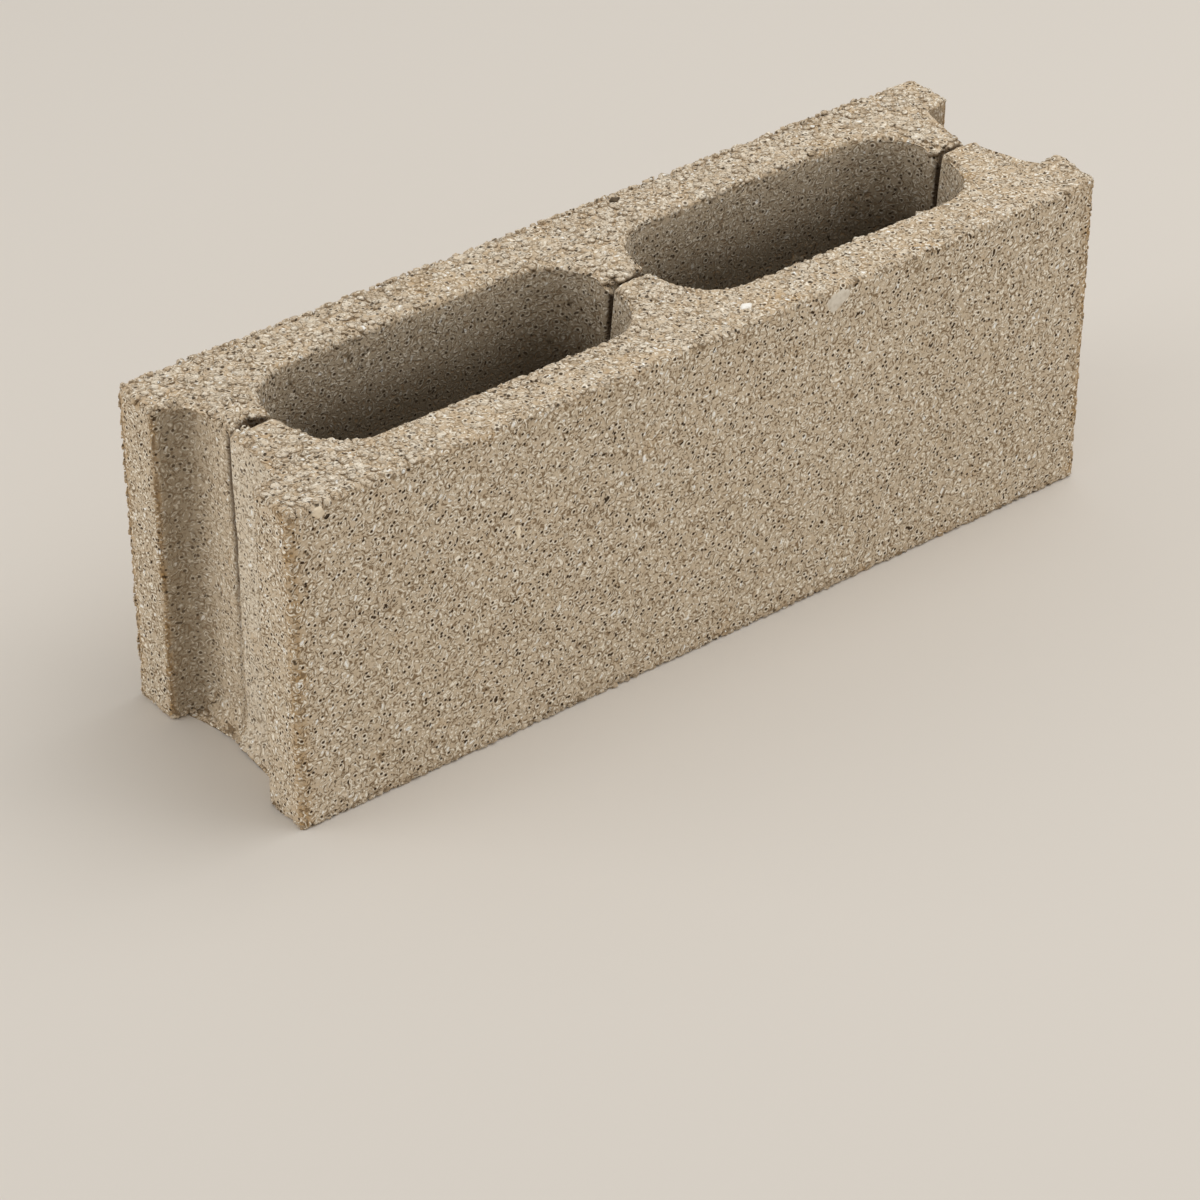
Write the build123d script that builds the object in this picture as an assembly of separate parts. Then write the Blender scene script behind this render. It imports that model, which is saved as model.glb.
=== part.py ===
from build123d import *
import os

# A hollow concrete building block, cast in one piece and standing on its bed face.
# X runs along the length, Y through the width and Z up. The origin is the middle of the bed face.
# All sizes are in millimetres.

# Overall size
block_length = 390.0
block_width = 110.0
block_height = 140.0

# Walls round the two cores, at the top of the block
middle_web = 18.0
end_web = 18.0
face_shell = 24.5
core_corner_radius = 26.0
core_draft = 2.0  # each core wall leans inwards by this much on its way down to the bed face
core_corner_limit_share = 0.48  # largest corner, as a share of the core's own width

# Mortar recess down each end, between two flanges
recess_depth = 16.0
flange_width = 22.5
recess_splay = 1.5  # each recess wall leans inwards by this much on its way to the recess floor
recess_cove_radius = 11.0

# Rounded arrises
corner_radius = 3.0
flange_lip_radius = 2.5
top_rim_radius = 2.0
bed_rim_radius = 1.5

# Slit left in the top of every web by the plate that carried the core formers
slit_width = 3.0
slit_root_width = 1.2
slit_depth = 32.0
slit_lip_radius = 2.5

# Cutters run this far past the faces that they open
overrun = 8.0

# Sizes that follow from the ones above
half_length = block_length / 2
half_width = block_width / 2
recess_mouth_half = half_width - flange_width
recess_floor_half = recess_mouth_half - recess_splay
core_length = (block_length - 2 * recess_depth - 2 * end_web - middle_web) / 2
core_width = block_width - 2 * face_shell
core_centre = (middle_web + core_length) / 2


def plan_outline():
    # One quarter of the plan as corner points with their radii. It is mirrored into the right
    # end, and half a turn of that end gives the left one.
    quarter = [
        (half_length, half_width, corner_radius),
        (half_length, recess_mouth_half, flange_lip_radius),
        (half_length - recess_depth, recess_floor_half, recess_cove_radius),
    ]
    right_end = quarter + [(x, -y, radius) for x, y, radius in reversed(quarter)]
    left_end = [(-x, -y, radius) for x, y, radius in right_end]
    corners = right_end + left_end
    points = [(x, y) for x, y, radius in corners]
    radii = [radius for x, y, radius in corners]
    return make_face(FilletPolyline(points, radius=radii, close=True))


def core_section(lean, height):
    # A round-cornered oblong, drawn in by the lean on every side.
    length = core_length - 2 * lean
    width = core_width - 2 * lean
    radius = min(core_corner_radius - lean, core_corner_limit_share * width)
    return Pos(0, 0, height) * RectangleRounded(length, width, radius)


def core_former():
    # The drafted plug that leaves one core: widest at the top, so that it draws out upwards.
    return loft([core_section(core_draft, 0), core_section(0, block_height)], ruled=True)


def slit_cutter():
    # A wedge along the whole block, with flared lips at the top. It only meets the webs.
    slit_top = block_height + overrun
    lip_reach = slit_width / 2 + slit_lip_radius + overrun
    half_profile = [
        (slit_root_width / 2, block_height - slit_depth, 0),
        (slit_width / 2, block_height, slit_lip_radius),
        (lip_reach, block_height, 0),
        (lip_reach, slit_top, 0),
    ]
    profile = half_profile + [(-y, z, radius) for y, z, radius in reversed(half_profile)]
    points = [(y, z) for y, z, radius in profile]
    radii = [radius for y, z, radius in profile]
    section = make_face(FilletPolyline(points, radius=radii, close=True))
    return extrude(Plane.YZ * section, amount=half_length, both=True)


def concrete_block():
    block = extrude(plan_outline(), amount=block_height)
    for side in (-1, 1):
        block -= Pos(side * core_centre, 0, 0) * core_former()
    levels = block.edges().group_by(Axis.Z)
    block = fillet(levels[-1], radius=top_rim_radius)
    levels = block.edges().group_by(Axis.Z)
    block = fillet(levels[0], radius=bed_rim_radius)
    return block - slit_cutter()


os.makedirs("parts", exist_ok=True)
node = concrete_block()
node.label = "concrete_block"
export_step(node, "parts/concrete_block.step")
print("core", core_length, "by", core_width, "volume", node.volume)
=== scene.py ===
import math
import bpy
import numpy as np
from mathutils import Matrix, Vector


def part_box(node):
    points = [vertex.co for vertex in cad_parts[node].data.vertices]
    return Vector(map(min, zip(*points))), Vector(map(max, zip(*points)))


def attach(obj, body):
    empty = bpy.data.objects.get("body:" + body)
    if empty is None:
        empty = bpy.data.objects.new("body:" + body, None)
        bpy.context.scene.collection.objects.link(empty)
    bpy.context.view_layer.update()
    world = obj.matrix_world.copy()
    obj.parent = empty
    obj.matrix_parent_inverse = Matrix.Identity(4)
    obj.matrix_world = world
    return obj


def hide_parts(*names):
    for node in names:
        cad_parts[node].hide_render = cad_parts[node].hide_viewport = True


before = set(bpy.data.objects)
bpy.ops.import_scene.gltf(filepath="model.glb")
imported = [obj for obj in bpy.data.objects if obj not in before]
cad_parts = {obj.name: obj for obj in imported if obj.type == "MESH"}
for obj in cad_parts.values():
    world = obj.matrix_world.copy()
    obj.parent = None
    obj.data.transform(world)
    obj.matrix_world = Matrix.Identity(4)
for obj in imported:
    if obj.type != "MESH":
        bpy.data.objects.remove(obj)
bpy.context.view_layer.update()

# Shapes are worked out in millimetres and put into their meshes in metres.
mm = 0.001
boxLow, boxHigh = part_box("concrete_block")
blockLength, blockWidth, topLevel = [(high - low) / mm for low, high in zip(boxLow, boxHigh)]
halfLength, halfWidth = blockLength / 2, blockWidth / 2
print("frame: block", round(blockLength, 2), "by", round(blockWidth, 2), "by", round(topLevel, 2), "mm")

block = {
    "web": 18.0,  # walls across the block, at the top
    "shell": 24.5,  # walls along the block, at the top
    "coreCorner": 26.0,
    "coreDraft": 2.0,  # each core wall leans in by this much on its way down
    "recessDepth": 16.0,
    "flange": 22.5,
    "recessSplay": 1.5,
    "cove": 11.0,
    "tightCoves": (3.5, 5.0),  # at the right, behind and in front
    "flare": 5.0,  # the recess floor runs out at its foot by this much
    "flareRise": 14.0,
    "corner": 3.0,
    "lip": 2.5,
    "topRim": 2.2,
    "bedRim": 1.6,
    "slitDepth": 32.0,
}
recessFloor = halfLength - block["recessDepth"]
mouthHalf = halfWidth - block["flange"]
floorHalf = mouthHalf - block["recessSplay"]
coreNear = block["web"] / 2
coreFar = recessFloor - block["web"]
coreHalf = halfWidth - block["shell"]
slitRoot = topLevel - block["slitDepth"]


# Sums on whole arrays

def clip(values):
    return np.clip(values, 0, 1)


def sCurve(values):
    # A soft rise from 0 to 1: three squares less two cubes.
    part = clip(values)
    return part * part * (3 - 2 * part)


def bell(away, width):
    # e to the minus square of the distance over the width: 1 in the middle.
    return np.exp(-(away / width) ** 2)


def unit(vectors):
    # Brought to length 1 along the last axis.
    return vectors / np.maximum(np.linalg.norm(vectors, axis=-1, keepdims=True), 1e-9)


# Random patterns on a lattice

cellPrimes, seedPrime, stirPrime = (73856093, 19349663, 83492791), 26544357, 73244475
wordMask = 0xFFFFFFFF


def cellRandom(cells, seed):
    # Even random numbers from 0 to 1 for whole-number cells: their parts times large primes are joined bit
    # by bit and stirred twice within 32 bits.
    key = np.bitwise_xor.reduce(cells * cellPrimes, axis=-1) ^ seed * seedPrime
    for turn in range(2):
        key = key & wordMask
        key = (key ^ (key >> 16)) * stirPrime
    key = key & wordMask
    return (key ^ (key >> 16)) / (wordMask + 1)


def softNoise(points, size, seed):
    # Random heights on a lattice, blended across each cell by an S-curve. Runs from -1 to 1.
    place = points / size
    cell = np.floor(place).astype(np.int64)
    part = sCurve(place - cell)
    total = np.zeros(points.shape[:-1])
    for corner in np.ndindex(2, 2, 2):
        share = np.prod(np.where(corner, part, 1 - part), axis=-1)
        total += share * cellRandom(cell + corner, seed)
    return 2 * total - 1


def lumpNoise(points, size, seed):
    # Round lumps: one random point to a cell, and 1 minus the distance to the nearest, in cells.
    place = points / size
    cell = np.floor(place).astype(np.int64)
    nearest = np.full(points.shape[:-1], np.inf)
    for step in np.ndindex(3, 3, 3):
        other = cell + step - 1
        spot = np.stack([cellRandom(other, seed + axis) for axis in range(3)], axis=-1)
        nearest = np.minimum(nearest, np.sum((other + spot - place) ** 2, axis=-1))
    return 1 - np.sqrt(nearest)


# Plan of the block

planSteps = {"arcPoints": 25, "sample": 0.5, "batch": 2000, "tangent": 0.4}


def roundedPath(corners):
    # A closed path of straight runs joined by tangent arcs. An arc leaves its corner radius / tan(half the
    # angle) away on both sides and swings between these two points round its centre. Each corner is x, y,
    # radius. Gives the points, their lengths along the path, and the length at each corner's middle.
    spots = np.array([corner[:2] for corner in corners], float)
    share = np.linspace(0, 1, planSteps["arcPoints"])[:, None]
    runs, middles, filled = [], [], 0
    for index, corner in enumerate(corners):
        here, radius = spots[index], corner[2]
        run = here[None]
        if radius > 0:
            before = unit(spots[index - 1] - here)
            after = unit(spots[(index + 1) % len(spots)] - here)
            angle = math.acos(np.clip(before @ after, -1, 1))
            centre = here + unit(before + after) * radius / math.sin(angle / 2)
            first = here + before * radius / math.tan(angle / 2) - centre
            last = here + after * radius / math.tan(angle / 2) - centre
            swing = math.pi - angle
            run = np.sin((1 - share) * swing) * first + np.sin(share * swing) * last
            run = centre + run / math.sin(swing)
        runs.append(run)
        middles.append(filled + len(run) // 2)
        filled += len(run)
    points = np.concatenate([*runs, runs[0][:1]])
    lengths = np.concatenate([[0], np.cumsum(np.linalg.norm(np.diff(points, axis=0), axis=1))])
    return points, lengths, lengths[middles]


def alongPath(path, length):
    # The point at a length along a path, by straight interpolation.
    points, lengths = path[:2]
    length = np.mod(length, lengths[-1])
    return np.stack([np.interp(length, lengths, points[:, axis]) for axis in range(2)], axis=-1)


def halfPlan(lean, rightCove):
    # Half of the plan as one loop, from the middle plane outwards. The cores are drawn in by the lean.
    near, far, reach = coreNear + lean, coreFar - lean, coreHalf - lean
    cove, lip, corner, bend = block["cove"], block["lip"], block["corner"], block["coreCorner"] - lean
    return roundedPath([
        (-recessFloor, 0, 0), (-recessFloor, floorHalf, cove), (-halfLength, mouthHalf, lip),
        (-halfLength, halfWidth, corner), (halfLength, halfWidth, corner),
        (halfLength, mouthHalf, lip), (recessFloor, floorHalf, rightCove), (recessFloor, 0, 0),
        (far, 0, 0), (far, reach, bend), (near, reach, bend), (near, 0, 0),
        (-near, 0, 0), (-near, reach, bend), (-far, reach, bend), (-far, 0, 0),
    ])


def outlinePlan(flare):
    # The whole outline, counter-clockwise from above. The recess floors run out by the flare.
    quarter = [
        (halfLength, halfWidth, block["corner"]),
        (halfLength, mouthHalf, block["lip"]),
        (recessFloor + flare, floorHalf, block["cove"] - flare),
    ]
    rightEnd = quarter + [(x, -y, radius) for x, y, radius in reversed(quarter)]
    corners = rightEnd + [(-x, -y, radius) for x, y, radius in rightEnd]
    for index, radius in zip((2, 3), block["tightCoves"]):
        corners[index] = (*corners[index][:2], radius)
    return roundedPath(corners[::-1])


def corePlan(side, lean):
    # One core's outline, clockwise from above, so that its normals point into the core too.
    left, right = sorted((side * (coreNear + lean), side * (coreFar - lean)))
    reach, bend = coreHalf - lean, block["coreCorner"] - lean
    spots = ((left, -reach), (left, reach), (right, reach), (right, -reach))
    return roundedPath([(x, y, bend) for x, y in spots])


def nearestOn(places, path):
    # Distance in plan from each place to the nearest sample of a path, batch by batch.
    samples = alongPath(path, np.arange(0, path[1][-1], planSteps["sample"]))
    flat = places.reshape(-1, 2)
    nearest = np.empty(len(flat))
    for start in range(0, len(flat), planSteps["batch"]):
        batch = slice(start, start + planSteps["batch"])
        gap = flat[batch, None] - samples[None]
        nearest[batch] = np.sqrt(np.min(np.sum(gap * gap, axis=-1), axis=1))
    return nearest.reshape(places.shape[:-1])


def rimReach(places, rims):
    return np.min([nearestOn(places, path) for path in rims], axis=0)


def tangentOn(path, length):
    step = planSteps["tangent"]
    return unit(alongPath(path, length + step) - alongPath(path, length - step))


def insidePath(spots, path):
    # Crossing count: a spot is inside where a ray along +x meets the path an odd number of times.
    start, end = path[0][:-1], path[0][1:]
    x, y = spots[:, 0, None], spots[:, 1, None]
    spans = (start[None, :, 1] > y) != (end[None, :, 1] > y)
    rise = np.where(end[:, 1] == start[:, 1], 1, end[:, 1] - start[:, 1])
    meets = start[:, 0] + (y - start[:, 1]) * (end[:, 0] - start[:, 0]) / rise
    return np.sum(spans & (x < meets), axis=1) % 2 == 1


def rimDrop(distance, radius):
    # How far a rounded rim lies below its face: a quarter circle, the radius deep at the edge.
    inside = np.clip(radius - distance, 0, radius)
    return radius - np.sqrt(radius * radius - inside * inside)


shades = {  # painted shade, as lists of millimetres with the amount there: 0 as the faces, 1 as deep in a core
    "core": ([0, 3, 10, 20, 30, 42], [0.0, 0.14, 0.33, 0.48, 0.80, 1.08]),
    "coreEnd": 30,  # towards its left end a core's painted shade starts later, at twice the depth
    "recess": ([0, 14, 24, 29, 34], [0.03, 0.05, 0.16, 0.50, 0.55]),
    "nearRecessShade": 0.3,  # share of the painted recess shade left in front of the slit
    "nearPaintedLight": 0.45,  # and the painted light there at the left: a paler tone
    "nearWeb": ([14, 24], [1, 0]),  # the webs' near halves stay pale, with less painted shade
    "nearWebDepth": 70,
    "nearWebShare": 0.7,
    "leftFlange": 0.07,
    "leftFlangeFrom": 20,
    "coreCalm": 0.3,  # share of the fine marks that is missing
    "recessCalm": 0.4,
}


def coreShade(places):
    # Painted shade: how much darker a core wall is coloured, by its depth below the top.
    x, end = places[..., 0], shades["coreEnd"]
    late = clip((x + coreFar) / end) * clip(np.abs(x - coreNear) / end)
    return np.interp((topLevel - places[..., 2]) * (0.5 + 0.5 * late), *shades["core"])


def leftShade(places):
    # Painted shade: the left end's far flange is coloured a little darker than the other faces.
    there = (places[..., 0] < 1 - halfLength) & (places[..., 1] > shades["leftFlangeFrom"])
    return shades["leftFlange"] * there


def recessShade(across):
    # Painted shade in a recess, from its middle out to its lips.
    return np.interp(across, *shades["recess"])


outlinePath = outlinePlan(0)
topRims = [outlinePath, corePlan(-1, 0), corePlan(1, 0)]
bedRims = [outlinePlan(block["flare"]), *(corePlan(side, block["coreDraft"]) for side in (-1, 1))]
print("plan: outline", round(outlinePath[1][-1]), "mm, core rim", round(topRims[1][1][-1]), "mm")


# Pieces

def addPiece(name, points, faceSets, values, material):
    # Puts arrays of points, faces of any width and numbers or colours at the points into one mesh.
    mesh = bpy.data.meshes.new(name)
    loops = np.concatenate([faces.ravel() for faces in faceSets]).astype(np.int32)
    widths = np.concatenate([np.full(len(faces), faces.shape[1]) for faces in faceSets])
    mesh.vertices.add(len(points))
    mesh.vertices.foreach_set("co", (points * mm).astype(np.float32).ravel())
    mesh.loops.add(len(loops))
    mesh.loops.foreach_set("vertex_index", loops)
    mesh.polygons.add(len(widths))
    mesh.polygons.foreach_set("loop_start", (np.cumsum(widths) - widths).astype(np.int32))
    mesh.polygons.foreach_set("use_smooth", np.ones(len(widths), bool))
    mesh.update(calc_edges=True)
    for label, numbers in values.items():
        kind, field = ("FLOAT", "value") if numbers.ndim == 1 else ("FLOAT_COLOR", "color")
        layer = mesh.attributes.new(label, kind, "POINT")
        layer.data.foreach_set(field, numbers.astype(np.float32).ravel())
    mesh.materials.append(material)
    piece = bpy.data.objects.new(name, mesh)
    bpy.context.scene.collection.objects.link(piece)
    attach(piece, "root")
    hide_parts("concrete_block")
    print("piece:", name, int(np.sum(widths - 2)), "triangles")


# Finish

class Wire:
    # A socket that can be written in sums: each operator adds a Math node to the same tree.
    def __init__(self, tree, socket):
        self.tree = tree
        self.socket = socket

    def math(self, operation, *values):
        return addNode(self.tree, "ShaderNodeMath", {"operation": operation}, dict(enumerate(values)))

    def __add__(self, other):
        return self.math("ADD", self, other)

    def __radd__(self, other):
        return self.math("ADD", other, self)

    def __sub__(self, other):
        return self.math("SUBTRACT", self, other)

    def __rsub__(self, other):
        return self.math("SUBTRACT", other, self)

    def __mul__(self, other):
        return self.math("MULTIPLY", self, other)

    def __rmul__(self, other):
        return self.math("MULTIPLY", other, self)

    def larger(self, other):
        return self.math("MAXIMUM", self, other)

    def sine(self):
        return self.math("SINE", self)

    def over(self, low, high):
        # 0 at the low value, 1 at the high one, with a soft S between.
        sockets = {"Value": self, "From Min": low, "From Max": high}
        return addNode(self.tree, "ShaderNodeMapRange", {"interpolation_type": "SMOOTHSTEP"}, sockets)


def addNode(tree, kind, settings, sockets, output=0):
    # Any node: its settings first, then the values or links of its sockets.
    node = tree.nodes.new(kind)
    for key, value in settings.items():
        setattr(node, key, value)
    for key, value in sockets.items():
        if isinstance(value, Wire):
            tree.links.new(value.socket, node.inputs[key])
        else:
            node.inputs[key].default_value = value
    return Wire(tree, node.outputs[output])


def openFinish(name):
    # A material with an empty tree, and the places in the piece's own frame.
    material = bpy.data.materials.new(name)
    material.use_nodes = True
    material.node_tree.nodes.clear()
    return material, material.node_tree, addNode(material.node_tree, "ShaderNodeTexCoord", {}, {}, "Object")


def blend(tree, share, first, second):
    # A colour mix, whose sockets 6 and 7 are the two colours.
    settings = {"data_type": "RGBA", "clamp_factor": True}
    return addNode(tree, "ShaderNodeMix", settings, {0: share, 6: first, 7: (*second, 1)}, 2)


def closeFinish(tree, colour, roughness, height, bump):
    normal = addNode(tree, "ShaderNodeBump", {}, {**bump, "Height": height}, "Normal")
    sockets = {"Base Color": colour, "Roughness": roughness, "Specular IOR Level": concrete["gloss"]}
    shader = addNode(tree, "ShaderNodeBsdfPrincipled", {}, {**sockets, "Normal": normal})
    output = tree.nodes.new("ShaderNodeOutputMaterial")
    tree.links.new(shader.socket, output.inputs["Surface"])


concrete = {
    "base": (0.645, 0.527, 0.382),  # linear colours
    "pale": (0.95, 0.87, 0.73),
    "shade": (0.33, 0.245, 0.152),
    "line": (0.235, 0.155, 0.082),
    "ochre": (0.47, 0.305, 0.145),
    # core: the colour of the painted shade in the cores and recesses
    "core": (0.165, 0.130, 0.087),
    # pit: the colour of the painted shade in pits, down the seam and inside the slits
    "pit": (0.058, 0.033, 0.015),
    "fleck": (0.95, 0.93, 0.87),
    "roughness": 0.9,
    "gloss": 0.12,  # concrete hardly shines, so its dark pits stay brown
    "swirl": (240, 1),  # noises: scale and detail
    "cloud": (14, 2),
    "patch": (70, 3),
    "sand": (900, 2),
    "broken": (430, 1),
    "noiseRoughness": 0.6,
    "bend": 0.004,  # how far the swirl bends places
    "bump": {"Strength": 0.8, "Distance": 0.0006},
}
patterns = [  # two cell patterns: how they are drawn out, and where on them the marks start and end
    {"turn": (0.6, 0.4, 0.2), "stretch": (1, 1, 2), "scale": 380, "waves": 15,
     "pit": (0.13, 0.21), "pitKinds": (0.65, 0.70), "clear": (0.26, 0.34)},
    {"turn": (-0.5, 0.9, 1.1), "stretch": (1, 1.1, 1), "scale": 370, "waves": 13,
     "pit": (0.15, 0.25), "pitKinds": (0.30, 0.35), "clear": (0.30, 0.38)},
]
marks = {  # where the other marks start and end, and the share that pebbles standing clear lose
    "struckPits": 0.3,  # the struck top has more pits
    "fleck": (0.15, 0.25),
    "fleckKinds": (0.20, 0.22),
    "dark": (0.35, 0.95),
    "pale": (0.3, 0.9),
    "broken": [(0.53, 0.59), (0.41, 0.47)],
    "outline": (0.05, 0.75),
    "outlinePatch": (0.30, 0.50),
    "rust": (0.56, 0.72),
    "pitLoss": 0.6,
    "paleLoss": 0.5,
    "darkLoss": 0.75,
    "coreLoss": 0.85,  # pale marks under the painted shade of the cores
}


def concreteFinish():
    # Binder colour with soft clouds, and two cell patterns drawn out along different lines. Their cells
    # hold a dark pit, whose darkness is painted shade, a pale fleck or nothing, and thin shells round them,
    # broken by noise, are the strokes that outline buried grains: dark and pale pairs that are partly brown
    # and cream marks and partly the painted shade and painted highlight of a fine relief. A tone above 1
    # turns white.
    material, tree, place = openFinish("concrete")

    def value(name):
        return addNode(tree, "ShaderNodeAttribute", {"attribute_name": name}, {}, "Fac")

    def noise(vector, name, output="Fac"):
        scale, detail = concrete[name]
        sockets = {"Vector": vector, "Scale": scale, "Detail": detail}
        sockets["Roughness"] = concrete["noiseRoughness"]
        return addNode(tree, "ShaderNodeTexNoise", {}, sockets, output)

    def cells(spots, pattern):
        # Distance to the nearest cell point and that cell's own random number, on turned, stretched places.
        sockets = {"Vector": spots, "Rotation": pattern["turn"], "Scale": pattern["stretch"]}
        drawn = addNode(tree, "ShaderNodeMapping", {"vector_type": "TEXTURE"}, sockets, "Vector")
        sockets = {"Vector": drawn, "Scale": pattern["scale"]}
        distance = addNode(tree, "ShaderNodeTexVoronoi", {}, sockets, "Distance")
        shade = Wire(tree, distance.socket.node.outputs["Color"])
        return distance, addNode(tree, "ShaderNodeSeparateColor", {}, {"Color": shade}, "Red")

    def vector(operation, first, second):
        sockets = {0: first, 1: second}
        return addNode(tree, "ShaderNodeVectorMath", {"operation": operation}, sockets, "Vector")

    def pitsOf(pattern, distance, kind):
        return (1 - distance.over(*pattern["pit"])) * kind.over(*pattern["pitKinds"])

    def strokesOf(pattern, distance, mask):
        # Sine shells round the cell points: dark crests, clear of the pits, and pale troughs, side by side
        # as the painted shade and painted highlight of fine ridges.
        wave = (distance * pattern["waves"]).sine()
        dark = wave.over(*marks["dark"]) * mask * distance.over(*pattern["clear"])
        return dark, (0 - wave).over(*marks["pale"]) * mask

    def kept(loss):
        return fine * loss + (1 - loss)

    labels = ("tone", "arris", "core", "seam", "rim", "struck")
    tone, arris, core, seam, rim, struck = [value(name) for name in labels]
    fine = 1 - value("pebble")  # the fine marks stay off pebbles that stand clear
    swirl = vector("SUBTRACT", noise(place, "swirl", "Color"), (0.5, 0.5, 0.5))
    bent = vector("ADD", place, vector("MULTIPLY", swirl, (concrete["bend"],) * 3))
    cloud, patch, sand = [noise(place, name) for name in ("cloud", "patch", "sand")]
    broken = noise(bent, "broken")
    one, oneKind = cells(bent, patterns[0])
    two, twoKind = cells(place, patterns[1])

    # Pits: small holes whose darkness is painted shade, also pressed in by the bump.
    pits = pitsOf(patterns[0], one, oneKind + struck * marks["struckPits"])
    pits = pits.larger(pitsOf(patterns[1], two, twoKind)) * kept(marks["pitLoss"])
    flecks = (1 - one.over(*marks["fleck"])) * (1 - oneKind.over(*marks["fleckKinds"]))
    darkOne, paleOne = strokesOf(patterns[0], one, broken.over(*marks["broken"][0]))
    darkTwo, paleTwo = strokesOf(patterns[1], two, 1 - broken.over(*marks["broken"][1]))
    dark, pale = darkOne.larger(darkTwo), paleOne.larger(paleTwo)
    # outline: the rim value in patches: painted shade round the pebbles' feet and in the top's hollows, and
    # the dark line at the far recess's lips
    outline = rim.over(*marks["outline"]) * patch.over(*marks["outlinePatch"])
    # Rust, pale marks and flecks fade under the painted shade.
    rust = patch.over(*marks["rust"]) * (1 - core)
    light = 1 - core * marks["coreLoss"]

    layers = [  # each colour's share, from the bottom up; the numbers weigh the patterns
        ((cloud - 0.3) * 0.3 - tone * 0.6, "shade"),
        ((patch - 0.45) * 0.5 + tone * 0.7, "pale"),
        ((0.5 - sand) * 2.2, "shade"),
        # painted shade in the cores, the recesses and the left flange
        (core, "core"),
        (arris * (patch * 1.5 + 0.05) + rust * 0.35, "ochre"),
        (pale * light * kept(marks["paleLoss"]), "pale"),
        ((dark * kept(marks["darkLoss"])).larger(outline) * 0.9, "line"),
        (pits, "pit"),
        (flecks * light, "fleck"),
        (tone - 1, "fleck"),
        # painted shade down the seam and inside the slits, in the pit colour
        (seam, "pit"),
    ]
    colour = (*concrete["base"], 1)
    for share, name in layers:
        colour = blend(tree, share, colour, concrete[name])
    height = sand * 0.5 - pits * 2.0 - dark * 0.7 + pale * 0.5
    closeFinish(tree, colour, concrete["roughness"], height, concrete["bump"])
    return material


concreteMaterial = concreteFinish()
print("finish: concrete")


# Skin: the moulded faces, one closed shell

skin = {
    "recessSteps": 26,
    "webSteps": 10,
    "coreSteps": 100,
    "wallRows": 50,  # below the slit's root
    "slitRows": 16,  # above it
    "topSteps": 20,
    "bedSteps": 12,
    "slitCrowd": 0.6,  # how much the stations crowd towards the slits
    "lipCrowd": 1.4,
    "cornerShares": (0.42, 0.5, 0.58),  # stations of an end that go round the corner
    "cornerArc": 0.8,
    "wave": 0.3,  # slow waves of every face
    "waveSize": 28,
    "faceLump": 0.12,  # grains under the moulded faces
    "topLump": 0.7,  # grains in the struck top
    "edgeLump": 0.9,  # grains along the arrises
    "lumps": [(5.0, 7, 0.62, 1.0), (2.8, 9, 0.6, 0.5)],  # size, seed, middle height, share
    "edgeWidth": 3.0,
    "edgeTint": 0.35,
    "corners": [(halfWidth, 4.0, 2.0), (mouthHalf, 1.6, 5.6)],  # y of an upright arris, its tint, offset
    "brink": 1.3,  # dark line at the far recess's lips
    "topTint": 0.32,
    "topCalm": 0.25,
    "hollow": (0.25, 0.45, 0.2),  # painted shade in the top's hollows: strength, height where they start, and softness
}
wear = {
    "flareEnd": (31, 9),  # the flare fades out before the recess walls: from here, over this much
    "slitTurn": 4.5,  # walls turn into the slit over this much
    "proudEnd": (4, 20),  # the proud half fades out: from here, over this much
    "proudStep": 8,
    "wornReach": 7,  # far corners of the cores that face left are worn round in plan too
    "wornShare": 0.35,
    "topMargin": 2.0,  # grains keep this far off the slit
    "noseClear": 0.45,  # and by this share of the nose off worn corners
}
seams = {
    "turn": [-175, -170],  # x of the left end and of the rest
    "lee": [3.4, 1.7],  # where a wall faces left the seam, its groove and painted shade, lies this far behind the slit
    "width": [1.2, 1.5],
    "facing": -0.3,
    "wander": 0.45,
    "wanderSize": 9,
    "steepest": 0.4,  # faces that look up more than this carry no seam
    "fade": ([0, 45, 70, 95], [0.25, 0.35, 0.8, 1.0]),  # heights with the seam's strength there
    "belowRoot": (14, 10),
    "depth": 0.9,  # the groove that carries the slit's line down the walls
    # dark and slitDark: the strength of the painted shade down the seam and inside the slits
    "dark": 0.95,
    "slitDark": 0.9,
    "slitSides": (-0.6, 1.7),
    "webMargin": 0.3,
    "topMargin": 0.8,
}
halves = {  # the slit's two sides: the far one is worn round, the near one stands crisp and proud
    "near": {"side": -1, "opening": 0.5, "lip": 1.2, "proud": (1.5, 0.9, 0.9), "nose": 4.5, "pockets": [],
             "cove": block["tightCoves"][1]},
    "far": {"side": 1, "opening": 1.5, "lip": 6.0, "proud": (0.0, 0.0, 0.0), "nose": 13.0,
            "pockets": [(-168.5, 5.0, 4.2)], "cove": block["tightCoves"][0]},
}
warps = {
    "middleShift": 2.0,  # the middle web stands this far towards the right
    "middleReach": 45,
    "slitPlace": [(-179, 2.6), (-161, 2.0), (0, 0.0), (179, 0.0)],  # the slit wanders off the middle plane
    "slitFade": 30,
    "recessShift": 3.5,  # the right recess is deeper by this much behind the slit
    "recessStart": (163, 12),  # along x: from here, over this much
    "recessEnd": 14,
    "recessSide": (-0.5, 5),  # the same along y
    "flangeLift": [(193, -36, 3.2), (194, -54, 1.2)],  # humps in the top of the right flange
    "liftSpread": 80,
    "liftDepth": 25,
}
recessRuns, webRuns, coreRuns = (0, 6), (1, 3, 5), (2, 4)  # the half plan's inside, from left to right
wornCorners = (-coreNear, coreFar)


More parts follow.
